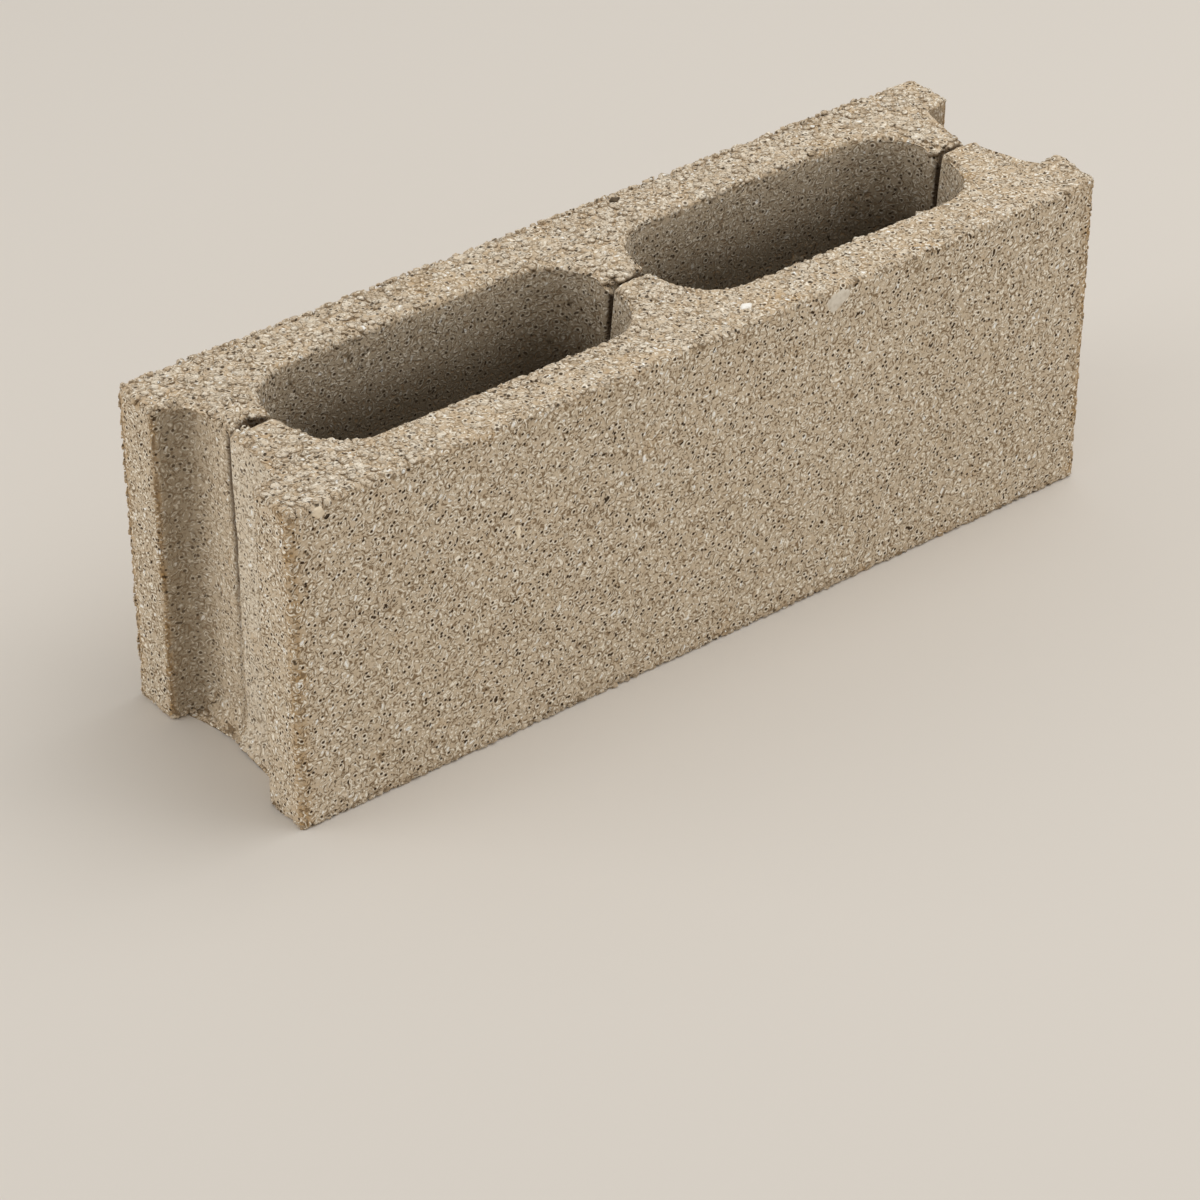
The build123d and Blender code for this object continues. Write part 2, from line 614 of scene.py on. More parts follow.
def warp(points):
    # Moves points: a bell round the middle web along x, the right recess's floor behind the slit along x,
    # the slit's own wander along y, which fades out towards the long faces, and round humps at the top.
    moved = points.copy()
    x, y, z = np.moveaxis(points, -1, 0)
    startX, overX = warps["recessStart"]
    startY, overY = warps["recessSide"]
    behind = clip((x - startX) / overX) * clip((halfLength - x) / warps["recessEnd"])
    behind = behind * clip((y - startY) / overY)
    moved[..., 0] -= warps["recessShift"] * behind * (2 - behind)
    deep = warps["liftDepth"]
    for placeX, placeY, lift in warps["flangeLift"]:
        hump = np.exp(-((x - placeX) ** 2 + (y - placeY) ** 2) / warps["liftSpread"])
        moved[..., 2] += lift * hump * clip((z - topLevel + deep) / deep) ** 2
    moved[..., 0] += warps["middleShift"] * bell(x, warps["middleReach"])
    places, offsets = np.array(warps["slitPlace"]).T
    moved[..., 1] += np.interp(x, places, offsets) * sCurve(1 - np.abs(y) / warps["slitFade"])
    return moved


def slitOpening(half, x):
    # Half the slit's width at the top, with its pockets as bells along x.
    opening = np.full(np.shape(x), half["opening"])
    for place, width, depth in half["pockets"]:
        opening += depth * bell(x - place, width)
    return opening


def slitDrop(half, x, y):
    # How far the top dips beside the slit: a rounded lip, and a wider round at the cores' worn corners.
    reach = y - slitOpening(half, x)
    drop = rimDrop(reach, half["lip"])
    for cornerX in wornCorners:
        drop = np.maximum(drop, rimDrop(np.hypot(x - cornerX, reach), half["nose"]))
    return drop


def topDip(spots):
    # The same for spots on both sides of the middle plane, and which lie on the solid side of the lip.
    x, across = spots[:, 0], np.abs(spots[:, 1])
    drops, solid = [], []
    for half in halves.values():
        drops.append(slitDrop(half, x, across))
        clear = across > slitOpening(half, x) + wear["topMargin"]
        for cornerX in wornCorners:
            clear &= np.hypot(x - cornerX, across) > wear["noseClear"] * half["nose"]
        solid.append(clear)
    return np.where(spots[:, 1] < 0, *drops), np.where(spots[:, 1] < 0, *solid)


def stationLengths(plan):
    # Lengths along the half plan for every station, inside and outside. The inside runs from lip to lip
    # over the recess, the webs and the cores; stations crowd towards the slits. The outside runs from
    # lip to lip round the corner and along the face, at about the same x.
    middles, total = plan[2], plan[1][-1]
    lipLeft, cornerLeft, cornerRight, lipRight = middles[2:6]
    keys = [lipLeft, 0.0] + [middles[index] - total for index in (15, 12, 11, 8, 7)] + [lipRight - total]
    faceStations = np.array([-recessFloor, -coreFar, -coreNear, coreNear, coreFar, recessFloor])
    faceShare = (faceStations + halfLength) / blockLength
    outerKeys = [lipLeft, *(cornerLeft + (cornerRight - cornerLeft) * faceShare), lipRight]
    web, core, recess = skin["webSteps"], skin["coreSteps"], skin["recessSteps"]
    counts = [recess, web, core, web, core, web, recess]
    arc = skin["cornerArc"] * block["corner"] * np.array([-1, 0, 1])
    inside, outside = [], []
    for index, count in enumerate(counts):
        share = np.arange(count) / count
        crowd, across = share, share
        outerRun = outerKeys[index + 1] - outerKeys[index]
        if index in coreRuns:
            crowd = share - skin["slitCrowd"] * np.sin(2 * math.pi * share) / (2 * math.pi)
        if index in recessRuns:
            corner = ((cornerLeft if index == 0 else cornerRight) + arc - outerKeys[index]) / outerRun
            across = np.interp(share, [0, *skin["cornerShares"], 1], [0, *corner, 1])
            crowd = 1 - (1 - share) ** skin["lipCrowd"] if index == 0 else share ** skin["lipCrowd"]
        inside.append(keys[index] + (keys[index + 1] - keys[index]) * crowd)
        outside.append(outerKeys[index] + outerRun * across)
    return np.append(np.concatenate(inside), keys[-1]), np.append(np.concatenate(outside), lipRight), counts


def leftFaces(half, starts, counts):
    # 1 at stations whose wall faces left, falling to 0 across the web behind, and how proud they stand.
    facing, stand = np.zeros(starts[-1] + 1), np.zeros(starts[-1] + 1)
    for index, amount in zip((0, 2, 4), half["proud"]):
        skipped = counts[index] // 2 if index > 0 else 0
        facing[starts[index] + skipped:starts[index + 1] + 1] = 1
        facing[starts[index + 1]:starts[index + 2] + 1] = np.linspace(1, 0, counts[index + 1] + 1)
        stand[starts[index]:starts[index + 2] + 1] = amount
    return facing, stand


def easedSteps(count):
    # Shares from 0 to 1 that crowd at both ends: half of 1 less the cosine.
    return (0.5 - 0.5 * np.cos(math.pi * np.linspace(0, 1, count + 1)))[None, :, None]


def joinRing(outerWall, top, innerWall, bed):
    return np.concatenate([outerWall, top[:, 1:-1], innerWall[:, ::-1], bed[:, 1:-1]], axis=1)


def ringQuads(stations, around, starts, rootRow, side):
    # Faces between neighbouring stations and rows. The ones inside the webs are left out.
    first = np.arange(stations - 1)[:, None] * around + np.arange(around)[None]
    after = np.arange(stations - 1)[:, None] * around + (np.arange(around)[None] + 1) % around
    quads = np.stack([first, first + around, after + around, after], axis=-1)
    keep = np.ones(first.shape, bool)
    for web in webRuns:
        keep[starts[web]:starts[web + 1], rootRow:rootRow + skin["wallRows"]] = False
    quads = quads[keep]
    return quads[:, ::-1] if side > 0 else quads


def halfShell(half):
    # A ring carried from lip to lip: up the outer wall, in over the top, down the inner wall and out over
    # the bed. Inner points lean with the cores, and stand back from the middle plane in the slits. Where
    # the end walls face left, the near half stands proud of the far one.
    planTop, planBed = halfPlan(0, half["cove"]), halfPlan(block["coreDraft"], half["cove"])
    inside, outside, counts = stationLengths(planTop)
    starts = np.concatenate([[0], np.cumsum(counts)])
    recesses = [slice(starts[index], starts[index + 1] + 1) for index in recessRuns]
    outer = alongPath(planTop, outside)[:, None]
    innerTop = alongPath(planTop, inside)[:, None]
    innerBed = alongPath(planBed, stationLengths(planBed)[0])[:, None]
    lower = np.linspace(0, 1, skin["wallRows"] + 1) * slitRoot / topLevel
    upper = np.linspace(slitRoot / topLevel, 1, skin["slitRows"] + 1)
    rows = np.concatenate([lower, upper[1:]])
    openShare = clip((rows - lower[-1]) / (1 - lower[-1]))[None]

    inner = innerBed + (innerTop - innerBed) * rows[None, :, None]
    reach = inner[..., 1].copy()
    flare = block["flare"] * clip(1 - rows * topLevel / block["flareRise"])[None] ** 2
    flareFrom, flareOver = wear["flareEnd"]
    for recess, way in zip(recesses, (-1, 1)):
        inner[recess, :, 0] += way * flare * clip((flareFrom - reach[recess]) / flareOver)
    opening = slitOpening(half, innerTop[:, 0, 0])
    inner[..., 1] += opening[:, None] * np.sqrt(openShare) * clip(1 - reach / wear["slitTurn"])
    leftFacing, stand = leftFaces(half, starts, counts)
    proudFrom, proudOver = wear["proudEnd"]
    step = clip(np.maximum(reach, wear["proudStep"] * openShare))
    proud = (stand * leftFacing)[:, None] * sCurve(1 - (reach - proudFrom) / proudOver) * step
    worn = clip(1 - reach / wear["wornReach"])
    wornCores = leftFacing[:, None] * (np.abs(innerTop[..., 0]) < coreFar + 1)
    proud = proud - wear["wornShare"] * half["nose"] * wornCores * worn * worn * openShare
    rim, foot = inner[:, -1:], inner[:, :1]

    topShare = easedSteps(skin["topSteps"])
    top = outer + (rim - outer) * topShare
    across = np.abs(top[..., 1])
    topReach = rimReach(top, topRims)
    topReach[:, [0, -1]] = 0
    drop = np.maximum(rimDrop(topReach, block["topRim"]), slitDrop(half, top[..., 0], across))
    for index in webRuns:  # the rim row inside a web is the slit's lip, not a core's rim
        web = slice(starts[index] + 1, starts[index + 1])
        drop[web, -1] = np.maximum(drop[web, -1], half["lip"])
    topHeight = topLevel - drop

    bedShare = easedSteps(skin["bedSteps"])
    bed = foot + (outer - foot) * bedShare
    bedReach = rimReach(bed, bedRims)
    bedReach[:, -1] = 0
    for index in recessRuns + coreRuns:
        bedReach[starts[index]:starts[index + 1] + 1, 0] = 0
    bedHeight = rimDrop(bedReach, block["bedRim"])

    def wall(points, low, high):
        below = low[:, None] + (slitRoot - low)[:, None] * clip(rows / lower[-1])[None]
        level = below + (high - slitRoot)[:, None] * openShare
        return np.concatenate([np.broadcast_to(points, level.shape + (2,)), level[..., None]], axis=-1)

    outerWall = wall(outer, bedHeight[:, -1], topHeight[:, 0])
    innerWall = wall(inner, bedHeight[:, 0], topHeight[:, -1])
    topFace = np.concatenate([top, topHeight[..., None]], axis=-1)
    bedFace = np.concatenate([bed, bedHeight[..., None]], axis=-1)
    innerWall[..., 0] -= proud
    topFace[..., 0] -= proud[:, -1:] * topShare[..., 0] ** 2
    bedFace[..., 0] -= proud[:, :1] * (1 - bedShare[..., 0]) ** 2
    ring = joinRing(outerWall, topFace, innerWall, bedFace)
    ring[..., 1] *= half["side"]

    # Values at the same points: distance to the nearest arris, tints, painted shade by how far inside a
    # recess or core, and painted light on the near half's recesses.
    walls = (outerWall[..., 2], innerWall[..., 2])
    outerEdge, innerEdge = [np.minimum(topLevel - level, level) for level in walls]
    topEdge = np.minimum(topReach, np.maximum(across - opening[:, None], 0))
    edge = joinRing(outerEdge, topEdge, innerEdge, bedReach)
    far = half["side"] > 0
    tint = skin["edgeTint"] * bell(edge, skin["edgeWidth"])
    for place, width, offset in skin["corners"]:
        away = np.linalg.norm(np.abs(ring[..., :2]) - (halfLength, place), axis=-1)
        edge = np.minimum(edge, away + offset)
        if far or place == halfWidth:
            tint = np.maximum(tint, bell(away, width))
    brink = bell(away, skin["brink"]) * far
    inward, paintedLight = coreShade(innerWall), np.zeros(reach.shape)
    calm = np.full(reach.shape, shades["coreCalm"])
    for recess in recesses:
        inward[recess] = recessShade(reach[recess])
        calm[recess] = shades["recessCalm"]
        # The near half of a recess keeps less painted shade, and gets painted light, a paler tone, where it
        # faces left.
        if not far:
            inward[recess] *= shades["nearRecessShade"]
            paintedLight[recess] = shades["nearPaintedLight"] * leftFacing[recess, None]
    # The near halves of the webs keep less painted shade, the more so near the top.
    if not far:
        deep = clip((topLevel - innerWall[..., 2]) / shades["nearWebDepth"])
        clear = leftFacing[:, None] * np.interp(reach, *shades["nearWeb"])
        inward *= 1 - clear * (1 - shades["nearWebShare"] * deep)
    innerStart = outerWall.shape[1] + topFace.shape[1] - 2
    innerRows = slice(innerStart, innerStart + len(rows))
    paintedShade, pale, plain = np.zeros((3, *edge.shape))
    paintedShade += leftShade(ring)
    for values, part in ((paintedShade, inward), (pale, paintedLight), (plain, calm)):
        values[:, innerRows] = part[:, ::-1]
    quads = ringQuads(*ring.shape[:2], starts, innerStart + skin["slitRows"], half["side"])
    return ring.reshape(-1, 3), quads, [value.ravel() for value in (edge, paintedShade, tint, pale, brink, plain)]


def weld(points, quads):
    # Merges points that share a place, and keeps the triangles that are left where a quad loses a side.
    # Gives the kept points' own numbers too.
    spots, own, links = np.unique(np.round(points, 4) + 0.0, axis=0, return_index=True, return_inverse=True)
    quads = links.reshape(-1)[quads]
    same = np.stack([quads[:, side] == quads[:, (side + 1) % 4] for side in range(4)], axis=1)
    whole, once = quads[~same.any(axis=1)], same.sum(axis=1) == 1
    turns = (np.argmax(same[once], axis=1)[:, None] + np.array([1, 2, 3])) % 4
    triangles = np.take_along_axis(quads[once], turns, axis=1)
    used, lined = np.unique(np.concatenate([whole.ravel(), triangles.ravel()]), return_inverse=True)
    return spots[used], lined[:whole.size].reshape(-1, 4), lined[whole.size:].reshape(-1, 3), own[used]


def pointNormals(points, faceSets):
    # Sum of the face normals round each point, brought to length 1.
    total = np.zeros_like(points)
    for faces in faceSets:
        corners = points[faces]
        across = np.cross(corners[:, 2] - corners[:, 0], corners[:, -1] - corners[:, 1])
        for axis in range(3):
            amount = np.repeat(across[:, axis], faces.shape[1])
            total[:, axis] += np.bincount(faces.ravel(), amount, len(points))
    return unit(total)


def seamLine(points, normals, struck):
    # The slit's line down the walls, a groove coloured with painted shade: a bell across it, which wanders,
    # starts above the bed and fades with depth. Where the wall doesn't face left it begins near the slit's
    # root.
    x, y, z = points.T
    lee = np.interp(x, seams["turn"], seams["lee"]) * (normals[:, 0] < seams["facing"])
    width = np.interp(x, seams["turn"], seams["width"])
    wander = seams["wander"] * softNoise(points * (0.2, 0.2, 1), seams["wanderSize"], 5)
    above, over = seams["belowRoot"]
    seam = bell(y - lee - wander, width) * (struck < seams["steepest"]) * clip((z - 1) / 2)
    seam *= np.where(lee > 0, 1.0, clip((slitRoot + above - z) / over))
    return seam * np.interp(z, *seams["fade"])


def slitShade(points):
    # Painted shade, with some dirt: 1 on the walls inside the slits, down from just below the top.
    x, y, z = points.T
    along, margin = np.abs(x), seams["webMargin"]
    near, far = seams["slitSides"]
    inWeb = (along < coreNear - margin) | ((along > coreFar + margin) & (along < recessFloor - margin))
    inSlits = inWeb & (y > near) & (y < slitOpening(halves["far"], x) + far) & (z > slitRoot - 0.5)
    return inSlits * clip(topLevel - seams["topMargin"] - z)


def makeSkin():
    # The two halves welded along the webs, then moved along their normals by waves and lumps.
    shells = [halfShell(half) for half in halves.values()]
    points = np.concatenate([shell[0] for shell in shells])
    quads = np.concatenate([shells[0][1], shells[1][1] + len(shells[0][0])])
    marked = np.concatenate([shell[2] for shell in shells], axis=1)
    flatPoints, quads, triangles, own = weld(points, quads)
    edge, paintedShade, tint, pale, brink, plain = marked[:, own]
    points = warp(flatPoints)
    normals = pointNormals(points, [quads, triangles])
    struck = clip(normals[:, 2])
    seam = seamLine(flatPoints, normals, struck)
    amount = skin["faceLump"] + (skin["topLump"] - skin["faceLump"]) * struck
    amount = np.maximum(amount, skin["edgeLump"] * bell(edge, skin["edgeWidth"]))
    lumps = [lumpNoise(points, size, seed) for size, seed, middle, share in skin["lumps"]]
    move = skin["wave"] * softNoise(points, skin["waveSize"], 3) - seams["depth"] * seam
    for lump, (size, seed, middle, share) in zip(lumps, skin["lumps"]):
        move += share * amount * (lump - middle)
    # The top's hollows between lumps get painted shade, carried with the dark line at the lips.
    strength, start, soft = skin["hollow"]
    brink = np.maximum(brink, strength * struck * clip((start - lumps[0]) / soft))
    points = points + normals * move[:, None]
    points[:, 2] = np.maximum(points[:, 2], 0.0)
    sides = [np.stack([faces, np.roll(faces, -1, axis=1)], axis=-1) for faces in (quads, triangles)]
    sides = np.concatenate([side.reshape(-1, 2) for side in sides])
    shared = np.unique(np.sort(sides, axis=1), axis=0, return_counts=True)[1]
    print("skin: edges not shared by two faces", int(np.sum(shared != 2)))
    # tone carries the painted light, core the painted shade, and seam the painted shade of the slits.
    values = {
        "tone": pale,
        "arris": np.maximum(tint, skin["topTint"] * struck),
        "core": paintedShade,
        "rim": brink,
        "pebble": np.maximum(plain, skin["topCalm"] * struck),
        "seam": np.maximum(seam * seams["dark"], slitShade(flatPoints) * seams["slitDark"]),
        "struck": struck,
    }
    addPiece("skin", points, [quads, triangles], values, concreteMaterial)


makeSkin()


# Grains: closed pebbles of twenty faces, set into the skin

golden = (1 + math.sqrt(5)) / 2
pebblePoints = np.array([
    (-1, golden, 0), (1, golden, 0), (-1, -golden, 0), (1, -golden, 0),
    (0, -1, golden), (0, 1, golden), (0, -1, -golden), (0, 1, -golden),
    (golden, 0, -1), (golden, 0, 1), (-golden, 0, -1), (-golden, 0, 1),
]) / math.hypot(1, golden)
pebbleFaces = np.array([
    (0, 11, 5), (0, 5, 1), (0, 1, 7), (0, 7, 10), (0, 10, 11),
    (1, 5, 9), (5, 11, 4), (11, 10, 2), (10, 7, 6), (7, 1, 8),
    (3, 9, 4), (3, 4, 2), (3, 2, 6), (3, 6, 8), (3, 8, 9),
    (4, 9, 5), (2, 4, 11), (6, 2, 10), (8, 6, 7), (9, 8, 1),
])
pebbleCorners = len(pebblePoints)
pebbleSizes = {
    "knock": (0.82, 1.16),  # corners pushed in or out
    "rimShare": 0.4,  # depth of the dark outline, painted shade round each pebble's foot, in radii
    "lean": 0.25,  # how far an upright grain leans off the vertical
    "jitter": 0.36,  # of a step
    "radius": 0.56,  # of a step, on average
    "radiusSpread": 0.28,
    "smallest": 0.55,
    "largest": 1.7,
    "rimLargest": 1.15,  # along the arrises
    "toneFloor": 1.2,  # spreads below the middle
}


def pebbles(places, outward, radius, form, random):
    # Each pebble is an icosahedron with its corners pushed in or out at random, turned at random, drawn out
    # along the surface and squashed towards it, then cut off flat at its own height above the surface.
    count = len(places)
    a, b, c, d = unit(random.normal(size=(count, 4))).T
    turn = np.stack([
        1 - 2 * (c * c + d * d), 2 * (b * c - a * d), 2 * (b * d + a * c),
        2 * (b * c + a * d), 1 - 2 * (b * b + d * d), 2 * (c * d - a * b),
        2 * (b * d - a * c), 2 * (c * d + a * b), 1 - 2 * (b * b + c * c),
    ], axis=-1).reshape(count, 3, 3)
    shape = pebblePoints * random.uniform(*pebbleSizes["knock"], (count, pebbleCorners, 1))
    shape = np.einsum("nij,nkj->nki", turn, shape) * radius[:, None, None]
    shape[..., 0] *= random.uniform(*form["stretch"], (count, 1))
    shape[..., 2] *= form["squash"]
    lid = random.uniform(*form["lid"], (count, 1))
    shape[..., 2] = np.minimum(shape[..., 2] - form["sink"] * radius[:, None] + lid, lid)
    # rim: painted shade down each pebble's sides below its flat top, seen as a dark outline
    rim = form["outline"] * clip((lid - shape[..., 2]) / (pebbleSizes["rimShare"] * radius[:, None]))
    first = random.normal(size=outward.shape)
    if form["upright"]:
        first = np.array([0.0, 0.0, 1.0]) + first * pebbleSizes["lean"]
    first = unit(np.cross(np.cross(outward, first), outward))
    second = np.cross(outward, first)
    points = (places[:, None] + shape[..., 0:1] * first[:, None] + shape[..., 1:2] * second[:, None]
              + shape[..., 2:3] * outward[:, None])
    points[..., 2] = np.maximum(points[..., 2], 0.0)
    faces = pebbleFaces[None] + pebbleCorners * np.arange(count)[:, None, None]
    return points.reshape(-1, 3), faces.reshape(-1, 3), rim.ravel()


rowStep = 0.866  # height of an even triangle


def hexGrid(across, up, pitch, random):
    # Rows of points, every other row half a step along, each point moved at random by under half a step.
    columns, rows = max(1, round(across / pitch)), max(1, round(up / (rowStep * pitch)))
    along = (np.arange(columns)[None] + 0.5 * (np.arange(rows)[:, None] % 2) + 0.25) / columns * across
    height = np.broadcast_to((np.arange(rows)[:, None] + 0.5) / rows * up, along.shape)
    spots = np.stack([along, height], axis=-1).reshape(-1, 2)
    return spots + random.uniform(-pebbleSizes["jitter"], pebbleSizes["jitter"], spots.shape) * pitch


def wallSpots(pathTop, pathBed, pitch, low, high, random):
    # Points over a wall: a length along the plan and a height. The wall leans evenly from its bed to its
    # top. The plan runs with the solid on its left, so the outward normal is the tangent turned right.
    spots = hexGrid(pathTop[1][-1], high - low, pitch, random)
    share = spots[:, 0] / pathTop[1][-1]
    level = low + spots[:, 1]
    part = (level / topLevel)[:, None]

    def at(step):
        bed = alongPath(pathBed, (share + step) * pathBed[1][-1])
        return bed * (1 - part) + alongPath(pathTop, (share + step) * pathTop[1][-1]) * part

    here, step = at(0), planSteps["tangent"] / pathTop[1][-1]
    tangent = unit(at(step) - at(-step))
    outward = np.stack([tangent[:, 1], -tangent[:, 0], np.zeros(len(here))], axis=-1)
    return np.concatenate([here, level[:, None]], axis=-1), outward


def grainPiece(name, batches, seed):
    # Joins batches of places, normals, radii and forms into one piece.
    random = np.random.default_rng(seed)
    allPoints, allFaces, allValues, filled = [], [], [], 0
    for places, outward, radius, form in batches:
        points, faces, rim = pebbles(warp(places), outward, radius, form, random)
        allPoints.append(points)
        allFaces.append(faces + filled)
        filled += len(points)
        tone = random.normal(form["tone"], form["spread"], len(places))
        tone = np.maximum(tone, form["tone"] - pebbleSizes["toneFloor"] * form["spread"])
        # Painted shade by place: the left flange, the cores and the recesses; the near side of the left
        # recess gets painted light, a paler tone.
        shade = leftShade(places)
        if form["shade"] == "core":
            shade = coreShade(places)
        if form["shade"] == "recess":
            nearSide = places[:, 1] < 0
            shade = recessShade(np.abs(places[:, 1])) * np.where(nearSide, shades["nearRecessShade"], 1.0)
            tone = tone + shades["nearPaintedLight"] * (nearSide & (places[:, 0] < 0))
        values = {label: np.full(len(points), form[label]) for label in ("arris", "pebble", "struck")}
        values["tone"], values["core"] = np.repeat(tone, pebbleCorners), np.repeat(shade, pebbleCorners)
        values["rim"] = rim
        allValues.append(values)
    values = {label: np.concatenate([part[label] for part in allValues]) for label in allValues[0]}
    addPiece(name, np.concatenate(allPoints), [np.concatenate(allFaces)], values, concreteMaterial)


def grainRadius(count, pitch, random, largest=pebbleSizes["largest"]):
    size = np.exp(random.normal(0, pebbleSizes["radiusSpread"], count))
    return pitch * pebbleSizes["radius"] * np.clip(size, pebbleSizes["smallest"], largest)


plainGrain = {"squash": 0.7, "sink": 0.5, "stretch": (0.9, 1.4), "tone": 0.0, "spread": 0.1, "arris": 0.0,
              "pebble": 0.0, "struck": 0.0, "outline": 1.0, "shade": None, "upright": False}
grains = {  # what differs from the plain grain; lid is the height above the surface that it is cut at
    "face": {"pitch": 4.4, "lid": (-0.25, 0.12), "tone": 0.05, "spread": 0.12},
    "recess": {"pitch": 4.4, "lid": (-0.25, 0.08), "stretch": (1.0, 1.7), "upright": True, "pebble": 0.4,
               "shade": "recess"},
    "core": {"pitch": 4.8, "lid": (-0.25, 0.12), "stretch": (1.0, 1.7), "upright": True, "pebble": 0.3,
             "shade": "core"},
    "top": {"pitch": 3.3, "struck": 1.0, "squash": 0.85, "sink": 0.35, "lid": (-0.2, 0.7),
            "stretch": (0.9, 1.5), "tone": 0.22, "spread": 0.3, "pebble": 0.4},
    "evenTop": {"struck": 1.0, "squash": 0.85, "sink": 0.35, "lid": (-0.25, 0.3), "stretch": (0.9, 1.5),
                "tone": 0.2, "spread": 0.22, "pebble": 0.2},
    "bed": {"pitch": 5.6, "squash": 0.8, "lid": (-0.4, 0.0), "stretch": (0.9, 1.3)},
    "arris": {"pitch": 3.6, "squash": 0.9, "sink": 0.45, "lid": (-0.25, 0.3), "stretch": (0.9, 1.35),
              "loose": 0.85, "tone": 0.15, "spread": 0.22, "arris": 0.15, "pebble": 0.3, "outline": 0.6},
    "knob": {"pitch": 3.6, "squash": 1.0, "sink": 0.3, "lid": (0.2, 1.5), "stretch": (0.9, 1.15),
             "loose": 0.82, "tone": 0.18, "spread": 0.22, "arris": 0.2, "pebble": 0.35, "outline": 0.35},
    "upright": {"pitch": 3.0, "squash": 1.0, "sink": 0.35, "lid": (0.0, 0.55), "stretch": (0.9, 1.1),
                "loose": 0.9, "spread": 0.12, "arris": 0.6, "pebble": 0.3, "outline": 0.6},
    "lip": {"pitch": 2.4, "squash": 0.8, "lid": (-0.1, 0.35), "stretch": (0.9, 1.1), "loose": 0.9,
            "arris": 0.8, "pebble": 0.3},
}
grains = {name: {**plainGrain, **form} for name, form in grains.items()}
spacing = {
    "slitClear": 7.0,  # wall grains keep off the seam, the top and the upright arrises
    "faceTopClear": 5,
    "coreTopClear": 6,
    "cornerClear": 3.6,
    "rimClear": 1.6,
    "rimRoom": (0.8, 1.2),  # a flat grain's radius stays under its distance to the rim plus this, over that
    "evenFrom": -120,  # the top is even in front and up to the right end
    "evenBehind": 30,
    "evenTo": 150,
    "arrisLeans": (0.35, 0.75),  # shares of a right angle
    "arrisJitter": 0.3,
    "knobsTo": 165,  # knobs stand on the outline's back rim, up to here, and round the left end
    "knobEnd": 25,
    "uprightLevels": (2, 4),  # off the bed and the top
    "crispLid": (-0.1, 0.35),  # the front corner at the left and the lips in front
    "crispTint": 0.5,
    "roughLid": (0.2, 0.9),  # the back corner at the left
}


def makeWallGrains():
    # The outline's wall is parted by where its points lie: front, back, and the ends with their recesses.
    random = np.random.default_rng(11)
    form = grains["face"]
    low, high = block["topRim"], topLevel - block["topRim"]
    places, outward = wallSpots(outlinePath, outlinePath, form["pitch"], low, high, random)
    keep = np.abs(places[:, 1]) > spacing["slitClear"]
    keep &= places[:, 2] < topLevel - spacing["faceTopClear"]
    for corner in (halfWidth, mouthHalf):
        away = np.linalg.norm(np.abs(places[:, :2]) - (halfLength, corner), axis=1)
        keep &= away > spacing["cornerClear"]
    places, outward = places[keep], outward[keep]
    along, across = np.abs(places[:, :2]).T
    recess = (across < mouthHalf + 1) & (along < halfLength - 2)
    end = along > halfLength - 0.5
    front = places[:, 1] < 0
    for name, mask, seed in (("front_grains", front, 20), ("back_grains", ~front, 21)):
        mask = mask & ~end & ~recess
        radius = grainRadius(mask.sum(), form["pitch"], random)
        grainPiece(name, [(places[mask], outward[mask], radius, form)], seed)
    batches = []
    for mask, kind in ((end & ~recess, form), (recess, grains["recess"])):
        batches.append((places[mask], outward[mask], grainRadius(mask.sum(), kind["pitch"], random), kind))
    grainPiece("end_grains", batches, 25)
    form = grains["core"]
    for name, side in (("left_core_grains", -1), ("right_core_grains", 1)):
        top, bed = corePlan(side, 0), corePlan(side, block["coreDraft"])
        places, outward = wallSpots(top, bed, form["pitch"], low, high, random)
        keep = np.abs(places[:, 1]) > spacing["slitClear"]
        keep &= places[:, 2] < topLevel - spacing["coreTopClear"]
        radius = grainRadius(keep.sum(), form["pitch"], random)
        grainPiece(name, [(places[keep], outward[keep], radius, form)], 30 + side)


def makeFlatGrains():
    # Top and bed: a grid over the whole box, kept where it lies inside the outline and clear of the cores.
    random = np.random.default_rng(12)
    room, spare = spacing["rimRoom"]
    for name, form, rims, level, up in (("top_grains", grains["top"], topRims, topLevel, 1.0),
                                        ("bed_grains", grains["bed"], bedRims, 0.0, -1.0)):
        spots = hexGrid(blockLength, blockWidth, form["pitch"], random) - (halfLength, halfWidth)
        inside, *cores = [insidePath(spots, path) for path in rims]
        spots = spots[inside & ~cores[0] & ~cores[1]]
        reach = rimReach(spots, rims)
        dip, solid = topDip(spots)
        keep = (reach > spacing["rimClear"]) & (solid | (up < 0))
        spots, reach, dip = spots[keep], reach[keep], dip[keep]
        places = np.column_stack([spots, level - dip * (up > 0)])
        outward = np.broadcast_to(np.array([0.0, 0.0, up]), places.shape)
        size = np.minimum(grainRadius(len(places), form["pitch"], random), (reach + room) / spare)
        x, y = spots.T
        even = (up > 0) & (x > spacing["evenFrom"]) & (y < spacing["evenBehind"])
        even &= (x < spacing["evenTo"]) | (y < 0)
        batches = [(places[mask], outward[mask], size[mask], kind)
                   for mask, kind in ((even, grains["evenTop"]), (~even, form))]
        grainPiece(name, batches, 40 + int(up))


